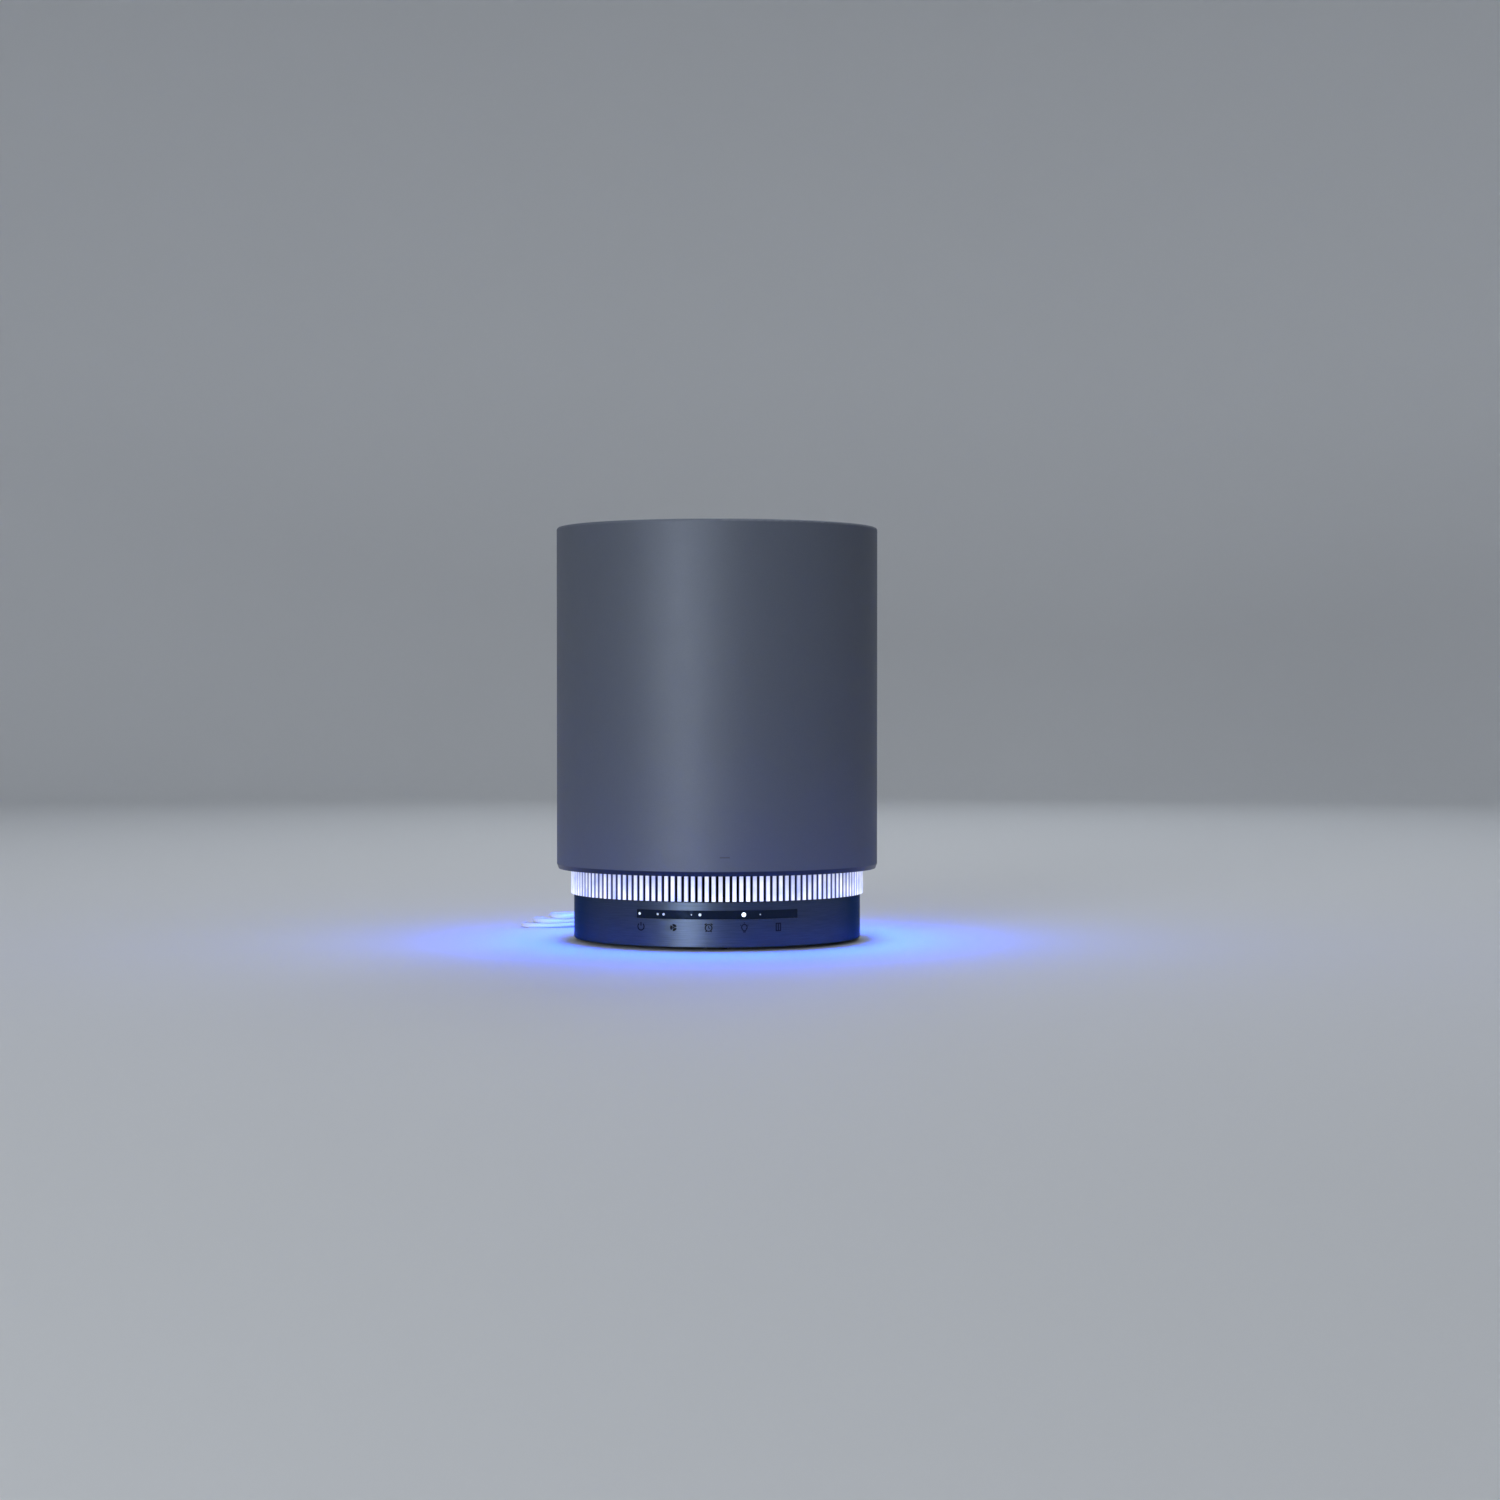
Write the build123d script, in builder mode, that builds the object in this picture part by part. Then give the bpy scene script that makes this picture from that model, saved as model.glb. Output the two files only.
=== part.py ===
"""Table-top air purifier: a round base with touch controls, a lit ring of vertical fins, a fan module,
a cylindrical filter cartridge and a lift-off cover with a vaned top grille.

Millimetres, +Z up. The origin is on the table under the cover's axis, and the controls face -Y.
Angles called azimuth run from -Y (the front) towards +X.
"""

import math
import os

from build123d import *

os.makedirs("parts", exist_ok=True)

# ---------------------------------------------------------------- driving dimensions
cover_r = 120.0  # outside of the cover
cover_wall = 2.4
cover_bottom = 54.0
total_height = 308.0
base_r = 107.2  # outside of the base drum
base_wall = 2.5
base_bottom = 2.2  # height of the drum's lower edge above the table
base_top = 35.4
fin_r = 109.4  # outside of the lit fins
fin_count = 138
fin_thick = 3.0
cable_d = 3.6

# ---------------------------------------------------------------- heights worked out from them
plate_top = base_bottom + 2.5
ledge_top = 33.0
fins_top = 56.4
hoop_top = 61.0
deck_top = hoop_top + 3.0
housing_top = 116.0
bell_top = housing_top + 2.5
rotor_bottom = 68.0
filter_bottom = bell_top + 0.2
media_bottom = 128.0
media_top = 270.0
cap_top = 274.0
grille_bottom = 300.0
grille_top = 307.2
jack_z = 12.0

# ---------------------------------------------------------------- radii worked out from them
base_inner_r = base_r - base_wall
cover_inner_r = cover_r - cover_wall
hoop_inner_r = 93.0
hoop_outer_r = 98.0
housing_r = 113.0
throat_r = 48.0
impeller_r = 76.0
filter_r = 99.0
core_r = 63.0
gasket_r = 76.0
grille_r = 103.7


def write(piece, name):
    """Labels a finished piece and writes it as its own STEP file."""
    piece.part.label = name
    export_step(piece.part, f"parts/{name}.step")


def tube(outer_r, inner_r, low, high, mode=Mode.ADD):
    """Adds a round tube about Z, or a disc where inner_r is 0, to the part being built."""
    with BuildSketch(Plane.XY.offset(low)) as ring:
        Circle(outer_r)
        if inner_r > 0:
            Circle(inner_r, mode=Mode.SUBTRACT)
    extrude(ring.sketch, amount=high - low, mode=mode)


def radial_plane(azimuth, radius, height):
    """A plane that faces outwards at an azimuth, with its X across and its Y upwards."""
    angle = math.radians(azimuth)
    outward = Vector(math.sin(angle), -math.cos(angle), 0)
    across = Vector(math.cos(angle), math.sin(angle), 0)
    origin = Vector(0, 0, height) + outward * radius
    return Plane(origin=origin, x_dir=across, z_dir=outward)


def arc_strip(outer_r, inner_r, low, high, half_angle, mode=Mode.ADD):
    """Adds a curved strip that follows the front of the drum, half_angle to each side of -Y."""
    with BuildSketch(Plane.XZ.rotated((0, 0, -90 - half_angle))) as section:
        with Locations(((outer_r + inner_r) / 2, (low + high) / 2)):
            Rectangle(outer_r - inner_r, high - low)
    revolve(section.sketch, axis=Axis.Z, revolution_arc=2 * half_angle, mode=mode)


def screws(places, seat, head_r, head_h, shank_r, length, up):
    """Adds pan-head screws whose heads sit on the height `seat`, with shanks that point up or down."""
    side = 1 if up else -1
    with BuildSketch(Plane.XY.offset(seat)) as shanks:
        with Locations(*places):
            Circle(shank_r)
    extrude(shanks.sketch, amount=side * length)
    with BuildSketch(Plane.XY.offset(seat)) as heads:
        with Locations(*places):
            Circle(head_r)
    extrude(heads.sketch, amount=-side * head_h)
    with BuildSketch(Plane.XY.offset(seat - side * head_h)) as crosses:
        with Locations(*places):
            Rectangle(head_r * 1.3, head_r * 0.28)
            Rectangle(head_r * 0.28, head_r * 1.3)
    extrude(crosses.sketch, amount=side * head_h * 0.5, mode=Mode.SUBTRACT)


def around(count, radius, start=0.0):
    """Points evenly spaced on a circle about Z."""
    step = 2 * math.pi / count
    turns = [math.radians(start) + step * k for k in range(count)]
    return [(radius * math.cos(a), radius * math.sin(a)) for a in turns]


# ================================================================ base
foot_r = 8.0
foot_top = base_bottom + 1.2
foot_places = around(4, 84.0, 0.0)
plate_screw_places = around(4, 98.5, 45.0)
board_w, board_d = 110.0, 70.0
board_low, board_high = 9.0, 10.6
board_corners = [(sx * 50.0, sy * 30.0 - 4.0) for sx in (-1, 1) for sy in (-1, 1)]

with BuildPart() as rubber_feet:
    with BuildSketch(Plane.XY):
        with Locations(*foot_places):
            Circle(foot_r - 0.1)
    extrude(amount=foot_top)
    fillet(rubber_feet.edges().group_by(Axis.Z)[0], 0.9)
write(rubber_feet, "rubber_feet")

with BuildPart() as base_plate:
    tube(base_inner_r - 0.2, 0, base_bottom, plate_top)
    with BuildSketch(Plane.XY.offset(base_bottom)):
        with Locations(*foot_places):
            Circle(foot_r)
    extrude(amount=1.2, mode=Mode.SUBTRACT)
    with BuildSketch(Plane.XY.offset(plate_top)):
        with Locations(*board_corners):
            Circle(3.4)
    extrude(amount=board_low - plate_top)
    with BuildSketch(Plane.XY.offset(plate_top)):
        with Locations(*board_corners):
            Circle(1.4)
    extrude(amount=board_low - plate_top, mode=Mode.SUBTRACT)
    with BuildSketch(Plane.XY.offset(plate_top)):
        with Locations((0, 98.0)):
            Rectangle(11.0, 9.0)
    extrude(amount=jack_z - 5.6 - plate_top)
    with BuildSketch(Plane.XY.offset(base_bottom)):
        with Locations(*plate_screw_places):
            Circle(1.7)
    extrude(amount=plate_top - base_bottom, mode=Mode.SUBTRACT)
    with BuildSketch(Plane.XY.offset(base_bottom)):
        with Locations(*plate_screw_places):
            Circle(3.1)
    extrude(amount=1.4, mode=Mode.SUBTRACT)
    vent_rows = [(0, 12.0 * k - 30.0) for k in range(6)]
    with BuildSketch(Plane.XY.offset(base_bottom)):
        with Locations(*vent_rows):
            SlotOverall(58.0, 3.0)
    extrude(amount=plate_top - base_bottom, mode=Mode.SUBTRACT)
write(base_plate, "base_plate")

with BuildPart() as base_plate_screws:
    screws(plate_screw_places, base_bottom + 1.4, 2.8, 1.2, 1.4, 8.5, up=True)
write(base_plate_screws, "base_plate_screws")

window_low, window_high = 22.6, 29.0
window_half_angle = 32.7
pipe_height = 25.9
# Azimuth and radius of each indicator in the window.
indicators = [(-31.4, 0.9), (-23.5, 0.8), (-21.0, 0.9), (-9.9, 0.5), (-6.6, 1.0), (10.3, 1.5), (16.8, 0.5)]
hoop_screw_places = around(6, (hoop_inner_r + hoop_outer_r) / 2, 30.0)
deck_screw_places = around(6, 107.0, 0.0)
inlet_screw_places = around(6, 107.4, 30.0)
grille_screw_places = around(6, 112.0, 0.0)

with BuildPart() as base_shell:
    tube(base_r, base_inner_r, base_bottom, base_top)
    fillet(base_shell.edges().group_by(Axis.Z)[0].sort_by(SortBy.LENGTH)[-1], 0.8)
    chamfer(base_shell.edges().group_by(Axis.Z)[-1].sort_by(SortBy.LENGTH)[-1], 0.7)
    tube(base_inner_r + 0.5, 84.0, ledge_top - 2.5, ledge_top)
    # Bosses for the base plate's screws, each webbed to the wall.
    for x, y in plate_screw_places:
        turn = math.degrees(math.atan2(y, x))
        with BuildSketch(Plane.XY.offset(plate_top)):
            with Locations((x, y)):
                Circle(4.2)
            with Locations(Location((x * 1.035, y * 1.035, 0), (0, 0, turn))):
                Rectangle(7.0, 6.0)
        extrude(amount=9.0)
    with BuildSketch(Plane.XY.offset(plate_top)):
        with Locations(*plate_screw_places):
            Circle(1.45)
    extrude(amount=7.5, mode=Mode.SUBTRACT)
    with BuildSketch(Plane.XY.offset(ledge_top - 2.5)):
        with Locations(*hoop_screw_places):
            Circle(1.5)
    extrude(amount=2.5, mode=Mode.SUBTRACT)
    # Recess of the display window, the indicators' holes and the hole for the power inlet.
    arc_strip(base_r + 1.0, base_r - 1.2, window_low, window_high, window_half_angle, mode=Mode.SUBTRACT)
    for azimuth, radius in indicators:
        with BuildSketch(radial_plane(azimuth, base_inner_r - 1.0, pipe_height)):
            Circle(radius + 0.05)
        extrude(amount=4.0, mode=Mode.SUBTRACT)
    with BuildSketch(radial_plane(180, base_inner_r - 1.0, jack_z)):
        Circle(6.1)
    extrude(amount=5.0, mode=Mode.SUBTRACT)
write(base_shell, "base_shell")

with BuildPart() as display_window:
    arc_strip(base_r - 0.35, base_r - 1.15, window_low + 0.1, window_high - 0.1, window_half_angle - 0.08)
    for azimuth, radius in indicators:
        with BuildSketch(radial_plane(azimuth, base_r - 3.0, pipe_height)):
            Circle(radius + 0.03)
        extrude(amount=4.0, mode=Mode.SUBTRACT)
write(display_window, "display_window")

with BuildPart() as indicator_lenses:
    for azimuth, radius in indicators:
        with BuildSketch(radial_plane(azimuth, base_inner_r - 1.0, pipe_height)):
            Circle(radius)
        extrude(amount=base_wall + 1.0 - 0.2)
write(indicator_lenses, "indicator_lenses")

with BuildPart() as touch_board:
    arc_strip(base_inner_r - 1.05, base_inner_r - 2.05, 9.0, 30.0, 37.0)
write(touch_board, "touch_board")

key_azimuths = [-30.7 + 13.72 * k for k in range(5)]
key_height = 16.6
with BuildPart() as touch_pads:
    for azimuth in key_azimuths:
        with BuildSketch(radial_plane(azimuth, base_inner_r - 0.95, key_height)):
            RectangleRounded(9.0, 9.0, 2.0)
        extrude(amount=0.6)
write(touch_pads, "touch_pads")

with BuildPart() as control_board:
    with BuildSketch(Plane.XY.offset(board_low)):
        with Locations((0, -4.0)):
            RectangleRounded(board_w, board_d, 3.0)
        with Locations(*board_corners):
            Circle(1.7, mode=Mode.SUBTRACT)
    extrude(amount=board_high - board_low)
write(control_board, "control_board")

with BuildPart() as control_board_screws:
    screws(board_corners, board_high, 2.8, 1.8, 1.3, 5.4, up=False)
write(control_board_screws, "control_board_screws")

with BuildPart() as control_board_parts:
    blocks = [
        (-36, 6, 18, 15, 13),  # converter choke
        (30, -22, 12, 12, 1.6),  # controller
        (-8, -24, 16, 8, 1.4),  # motor driver
        (36, 12, 14, 7, 8),  # fan connector
        (12, 20, 18, 7, 8),  # light connector
        (-34, -24, 9, 6, 8),  # touch connector
    ]
    for x, y, w, d, h in blocks:
        with BuildSketch(Plane.XY.offset(board_high)):
            with Locations((x, y)):
                Rectangle(w, d)
        extrude(amount=h)
    with BuildSketch(Plane.XY.offset(board_high)):
        with Locations((-14, 10), (-2, 10), (-8, -4)):
            Circle(4.5)
    extrude(amount=13.0)
    with BuildSketch(Plane.XY.offset(board_high)):
        with Locations((24, -2)):
            Circle(6.0)
    extrude(amount=8.0)
write(control_board_parts, "control_board_parts")

jack_face = base_r - 0.6
with BuildPart() as dc_jack:
    with BuildSketch(Plane.XZ.offset(-(base_inner_r - 11.9))):
        with Locations((0, jack_z)):
            Rectangle(11.0, 11.0)
    extrude(amount=-11.0)
    with BuildSketch(Plane.XZ.offset(-(base_inner_r - 1.5))):
        with Locations((0, jack_z)):
            Circle(5.9)
    extrude(amount=-(jack_face - base_inner_r + 1.5))
    with BuildSketch(Plane.XZ.offset(-jack_face)):
        with Locations((0, jack_z)):
            Circle(2.9)
    extrude(amount=10.5, mode=Mode.SUBTRACT)
    with BuildSketch(Plane.XZ.offset(-(jack_face - 10.6))):
        with Locations((0, jack_z)):
            Circle(1.0)
    extrude(amount=-8.5)
write(dc_jack, "dc_jack")

# ================================================================ lit ring and fan module
led_board_high = ledge_top + 1.2
led_count = fin_count // 2
led_row_r = 101.5

with BuildPart() as led_board:
    tube(base_inner_r - 0.2, hoop_outer_r + 0.3, ledge_top, led_board_high)
write(led_board, "led_board")

with BuildPart() as ring_leds:
    with BuildSketch(Plane.XY.offset(led_board_high)):
        with PolarLocations(led_row_r, led_count):
            Rectangle(2.8, 2.8)
    extrude(amount=0.9)
write(ring_leds, "ring_leds")

with BuildPart() as light_ring:
    tube(hoop_outer_r, hoop_inner_r, ledge_top, ledge_top + 4.4)
    with BuildSketch(Plane.XY.offset(base_top)):
        with PolarLocations((hoop_outer_r + fin_r) / 2 - 0.6, fin_count):
            RectangleRounded(fin_r - hoop_outer_r + 1.2, fin_thick, 0.7)
    extrude(amount=fins_top - base_top)
    tube(fin_r, hoop_outer_r - 1.2, fins_top - 0.4, hoop_top)
    with BuildSketch(Plane.XY.offset(ledge_top)):
        with Locations(*hoop_screw_places):
            Circle(1.2)
    extrude(amount=3.6, mode=Mode.SUBTRACT)
    with BuildSketch(Plane.XY.offset(hoop_top)):
        with Locations(*deck_screw_places):
            Circle(1.2)
    extrude(amount=-4.0, mode=Mode.SUBTRACT)
write(light_ring, "light_ring")

with BuildPart() as hoop_screws:
    screws(hoop_screw_places, ledge_top - 2.5, 2.4, 1.5, 1.15, 5.8, up=True)
write(hoop_screws, "hoop_screws")

with BuildPart() as air_deflector:
    with BuildSketch(Plane.XZ):
        with BuildLine():
            Polyline((0, 48), (26, 48), (26, 50), (0, 50), (0, 48))
        make_face()
        with BuildLine():
            Spline((26, 50), (60, 40.5), (86, 35), tangents=((1, 0), (1, -0.05)))
            Polyline((86, 35), (92.7, 35), (92.7, 33), (86, 33))
            Spline((86, 33), (60, 38.4), (26, 48), tangents=((-1, 0.05), (-1, 0)))
            Line((26, 48), (26, 50))
        make_face()
    revolve(axis=Axis.Z)
write(air_deflector, "air_deflector")

motor_screw_places = around(3, 26.0, 30.0)

with BuildPart() as fan_deck:
    tube(housing_r, hoop_outer_r + 5.0, hoop_top, deck_top)
    tube(34.0, 0, hoop_top, deck_top)
    with BuildSketch(Plane.XY.offset(hoop_top)):
        with PolarLocations(68.5, 6, start_angle=30):
            Rectangle(72.0, 8.0)
    extrude(amount=deck_top - hoop_top)
    with BuildSketch(Plane.XY.offset(hoop_top)):
        with Locations(*deck_screw_places):
            Circle(1.4)
        with Locations(*motor_screw_places):
            Circle(1.3)
    extrude(amount=deck_top - hoop_top, mode=Mode.SUBTRACT)
write(fan_deck, "fan_deck")

with BuildPart() as fan_housing:
    tube(housing_r, housing_r - 2.2, deck_top, housing_top)
    tube(housing_r - 1.0, hoop_outer_r + 5.0, deck_top, deck_top + 2.0)
    with BuildSketch(Plane.XY.offset(deck_top)):
        with Locations(*deck_screw_places):
            Circle(1.4)
    extrude(amount=2.0, mode=Mode.SUBTRACT)
    # Six posts inside the wall take the inlet plate's screws.
    with BuildSketch(Plane.XY.offset(deck_top + 2.0)):
        with Locations(*inlet_screw_places):
            Circle(3.6)
    extrude(amount=housing_top - deck_top - 2.0)
    with BuildSketch(Plane.XY.offset(housing_top)):
        with Locations(*inlet_screw_places):
            Circle(1.2)
    extrude(amount=-12.0, mode=Mode.SUBTRACT)
write(fan_housing, "fan_housing")

with BuildPart() as deck_screws:
    screws(deck_screw_places, deck_top + 2.0, 2.4, 1.5, 1.15, 8.6, up=False)
write(deck_screws, "deck_screws")

with BuildPart() as inlet_plate:
    with BuildSketch(Plane.XZ):
        with BuildLine():
            Line((housing_r + 4.0, housing_top), (housing_r + 4.0, bell_top))
            Line((housing_r + 4.0, bell_top), (60, bell_top))
            ThreePointArc((60, bell_top), (51.5, 115.0), (throat_r, 106.5))
            Line((throat_r, 106.5), (throat_r, 104.5))
            Line((throat_r, 104.5), (throat_r + 2.0, 104.5))
            Line((throat_r + 2.0, 104.5), (throat_r + 2.0, 106.5))
            ThreePointArc((throat_r + 2.0, 106.5), (53.2, 113.4), (60, housing_top))
            Line((60, housing_top), (housing_r + 4.0, housing_top))
        make_face()
    revolve(axis=Axis.Z)
    # A low rib round the filter's gasket keeps the cartridge central.
    tube(gasket_r + 3.0, gasket_r + 1.5, bell_top - 0.5, bell_top + 1.6)
    with BuildSketch(Plane.XY.offset(housing_top)):
        with Locations(*inlet_screw_places):
            Circle(1.4)
    extrude(amount=bell_top - housing_top, mode=Mode.SUBTRACT)
write(inlet_plate, "inlet_plate")

with BuildPart() as inlet_plate_screws:
    screws(inlet_screw_places, bell_top, 2.4, 1.5, 1.15, 9.0, up=False)
write(inlet_plate_screws, "inlet_plate_screws")

# ---------------------------------------------------------------- motor
shaft_r = 2.5
bearing_r = 4.5
sleeve_r = 7.0
magnet_r = 24.35
stator_low, stator_high = 72.0, 82.0
with BuildPart() as motor_mount:
    tube(30.0, bearing_r + 0.03, deck_top, deck_top + 2.5)
    tube(sleeve_r, bearing_r + 0.03, deck_top + 2.0, 86.0)
    with BuildSketch(Plane.XY.offset(deck_top)):
        with Locations(*motor_screw_places):
            Circle(1.3)
    extrude(amount=2.5, mode=Mode.SUBTRACT)
write(motor_mount, "motor_mount")

with BuildPart() as motor_screws:
    screws(motor_screw_places, deck_top + 2.5, 2.2, 1.0, 1.15, 5.3, up=False)
write(motor_screws, "motor_screws")

with BuildPart() as motor_bearings:
    for low in (68.0, 83.0):
        tube(bearing_r, shaft_r + 0.05, low, low + 3.0)
write(motor_bearings, "motor_bearings")

tooth_count = 9
with BuildPart() as stator_core:
    tube(10.5, sleeve_r + 0.03, stator_low, stator_high)
    with BuildSketch(Plane.XY.offset(stator_low)):
        with PolarLocations(14.5, tooth_count):
            Rectangle(9.0, 3.0)
        with PolarLocations(20.0, tooth_count):
            Rectangle(2.6, 9.5)
    extrude(amount=stator_high - stator_low)
write(stator_core, "stator_core")

with BuildPart() as stator_coils:
    with BuildSketch(Plane.XY.offset(stator_low - 1.4)):
        with PolarLocations(15.3, tooth_count):
            RectangleRounded(5.6, 5.8, 0.8)
    extrude(amount=stator_high - stator_low + 2.8)
    with BuildSketch(Plane.XY.offset(stator_low)):
        with PolarLocations(14.5, tooth_count):
            Rectangle(9.4, 3.04)
    extrude(amount=stator_high - stator_low, mode=Mode.SUBTRACT)
write(stator_coils, "stator_coils")

with BuildPart() as motor_shaft:
    tube(shaft_r, 0, 66.8, 99.0)
    chamfer(motor_shaft.edges().group_by(Axis.Z)[-1], 0.5)
write(motor_shaft, "motor_shaft")

with BuildPart() as shaft_clip:
    tube(3.8, shaft_r, 67.2, 67.8)
write(shaft_clip, "shaft_clip")

cup_r, cup_top = 25.9, 91.5
with BuildPart() as rotor_cup:
    tube(cup_r, magnet_r + 0.05, 70.4, 91.0)
    tube(cup_r, shaft_r + 0.01, 90.0, cup_top)
write(rotor_cup, "rotor_cup")

with BuildPart() as rotor_magnets:
    tube(magnet_r, magnet_r - 1.95, 71.5, 85.0)
write(rotor_magnets, "rotor_magnets")

blade_count = 11
blade_height = 35.0
hub_outer_r = cup_r + 2.1
hub_top = cup_top + 2.5
eye_r = 51.6
with BuildPart() as impeller:
    tube(impeller_r, cup_r + 0.1, rotor_bottom, rotor_bottom + 2.0)
    tube(hub_outer_r, cup_r + 0.1, rotor_bottom, cup_top + 0.5)
    tube(hub_outer_r, shaft_r + 0.02, cup_top + 0.1, hub_top)
    fillet(impeller.edges().group_by(Axis.Z)[-1].sort_by(SortBy.LENGTH)[-1], 1.5)
    # Backward-curved blades: each leans back from its root as it goes outwards.
    with BuildSketch(Plane.XY.offset(rotor_bottom + 1.0)):
        for k in range(blade_count):
            turn = 360.0 / blade_count * k
            with BuildLine(Plane.XY.rotated((0, 0, turn))) as blade_line:
                root = Vector(53.0, 0)
                middle = Vector(61.0, -14.5)
                tip = Vector(66.5, -34.5)
                ThreePointArc(root, middle, tip)
                offset(amount=0.9, side=Side.BOTH)
            make_face()
    extrude(amount=blade_height)
    shroud_low = rotor_bottom + blade_height + 0.5
    tube(impeller_r, eye_r, shroud_low, shroud_low + 2.0)
    tube(eye_r + 2.0, eye_r, shroud_low + 1.5, shroud_low + 5.0)
write(impeller, "impeller")

with BuildPart() as impeller_nut:
    with BuildSketch(Plane.XY.offset(hub_top)):
        RegularPolygon(4.6, 6)
        Circle(shaft_r + 0.02, mode=Mode.SUBTRACT)
    extrude(amount=3.6)
write(impeller_nut, "impeller_nut")

# ================================================================ filter cartridge
with BuildPart() as filter_gasket:
    tube(gasket_r, gasket_r - 12.0, filter_bottom, filter_bottom + 3.0)
write(filter_gasket, "filter_gasket")

gasket_top = filter_bottom + 3.0
with BuildPart() as filter_bottom_cap:
    tube(filter_r, 60.0, gasket_top, media_bottom)
    tube(filter_r, filter_r - 1.3, media_bottom, media_bottom + 4.0)
write(filter_bottom_cap, "filter_bottom_cap")

slot_rows = 5
with BuildPart() as filter_core:
    tube(core_r + 1.6, core_r, media_bottom, media_top)
    row_pitch = (media_top - media_bottom) / slot_rows
    for row in range(slot_rows):
        height = media_bottom + row_pitch * (row + 0.5)
        for k in range(10):
            with BuildSketch(radial_plane(18.0 * k, 0, height)):
                SlotOverall(18.0, 9.0, rotation=90)
            extrude(amount=core_r + 4.0, both=True, mode=Mode.SUBTRACT)
write(filter_core, "filter_core")

pleat_count = 72
pleat_peak_r, pleat_valley_r = 96.0, 65.2
pleat_wall = 6.6  # along the radius, peak to peak
sheet_step = 7.2  # along the radius, valley to valley


def zigzag(peak_r, valley_r):
    """The closed zigzag line of one face of the folded sheet."""
    half_pleat = math.pi / pleat_count
    ring = []
    for k in range(2 * pleat_count):
        radius = valley_r if k % 2 else peak_r
        ring.append((radius * math.cos(half_pleat * k), radius * math.sin(half_pleat * k)))
    return ring


with BuildPart() as pleated_media:
    with BuildSketch(Plane.XY.offset(media_bottom)):
        Polygon(*zigzag(pleat_peak_r, pleat_valley_r + sheet_step), align=None)
        Polygon(*zigzag(pleat_peak_r - pleat_wall, pleat_valley_r), align=None, mode=Mode.SUBTRACT)
    extrude(amount=media_top - media_bottom)
write(pleated_media, "pleated_media")

with BuildPart() as prefilter_sleeve:
    tube(97.5, 96.4, media_bottom, media_top)
write(prefilter_sleeve, "prefilter_sleeve")

handle_y, handle_z = -10.0, cap_top - 3.2
handle_half, handle_arm, handle_thick = 27.0, 19.0, 3.0
pin_r = 1.2
pocket_w, pocket_d, pocket_depth = 66.0, 36.0, 10.0
with BuildPart() as filter_top_cap:
    tube(filter_r, 0, media_top, cap_top)
    tube(filter_r, filter_r - 1.3, media_top - 4.0, media_top)
    fillet(filter_top_cap.edges().group_by(Axis.Z)[-1], 1.2)
    # The handle's pocket hangs into the cartridge's hollow core.
    with BuildSketch(Plane.XY.offset(cap_top - pocket_depth - 2.0)):
        RectangleRounded(pocket_w + 8.0, pocket_d + 4.0, 8.0)
    extrude(amount=pocket_depth - 0.5)
    with BuildSketch(Plane.XY.offset(cap_top)):
        RectangleRounded(pocket_w, pocket_d, 6.0)
    extrude(amount=-pocket_depth, mode=Mode.SUBTRACT)
    with BuildSketch(Plane.YZ):
        with Locations((handle_y, handle_z)):
            Circle(pin_r)
    extrude(amount=pocket_w / 2 + 3.0, both=True, mode=Mode.SUBTRACT)
write(filter_top_cap, "filter_top_cap")

with BuildPart() as handle_pins:
    for side in (-1, 1):
        with BuildSketch(Plane.YZ.offset(side * (handle_half - 2.0))):
            with Locations((handle_y, handle_z)):
                Circle(pin_r)
        extrude(amount=side * 11.0)
write(handle_pins, "handle_pins")

with BuildPart() as pull_handle:
    with BuildSketch(Plane.XY.offset(handle_z - handle_thick / 2)):
        with Locations((0, handle_y + handle_arm / 2)):
            RectangleRounded(2 * handle_half + 4.0, handle_arm + 5.0, 6.0)
        with Locations((0, handle_y + handle_arm / 2 - 4.0)):
            Rectangle(2 * handle_half - 4.0, handle_arm + 5.0, mode=Mode.SUBTRACT)
    extrude(amount=handle_thick)
    for side in (-1, 1):
        with BuildSketch(Plane.YZ.offset(side * (handle_half - 2.0))):
            with Locations((handle_y, handle_z)):
                Circle(2.4)
        extrude(amount=side * 4.0)
        with BuildSketch(Plane.YZ.offset(side * (handle_half - 3.0))):
            with Locations((handle_y, handle_z)):
                Circle(pin_r + 0.06)
        extrude(amount=side * 6.0, mode=Mode.SUBTRACT)
write(pull_handle, "pull_handle")

# ================================================================ cover
rim_bottom = grille_bottom + 3.2
rim_r = grille_r + 0.4
with BuildPart() as cover_shell:
    with BuildSketch(Plane.XZ):
        with BuildLine():
            Polyline(
                (cover_inner_r, cover_bottom),
                (cover_r - 1.2, cover_bottom),
                (cover_r, cover_bottom + 3.4),
                (cover_r, total_height),
                (rim_r, total_height),
                (rim_r, rim_bottom),
                (cover_inner_r, rim_bottom),
                close=True,
            )
        make_face()
    revolve(axis=Axis.Z)
    top_edges = cover_shell.edges().filter_by(GeomType.CIRCLE).group_by(Axis.Z)[-1].sort_by(SortBy.RADIUS)
    fillet(top_edges[-1], 1.8)
    fillet(top_edges[0], 0.6)
    tube(cover_inner_r + 0.5, 113.6, 120.4, 123.0)
    with BuildSketch(Plane.XY.offset(rim_bottom)):
        with Locations(*grille_screw_places):
            Circle(1.2)
    extrude(amount=3.2, mode=Mode.SUBTRACT)
write(cover_shell, "cover_shell")

with BuildPart() as cover_seal:
    tube(117.2, 114.0, bell_top + 0.3, 120.4)
write(cover_seal, "cover_seal")

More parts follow.
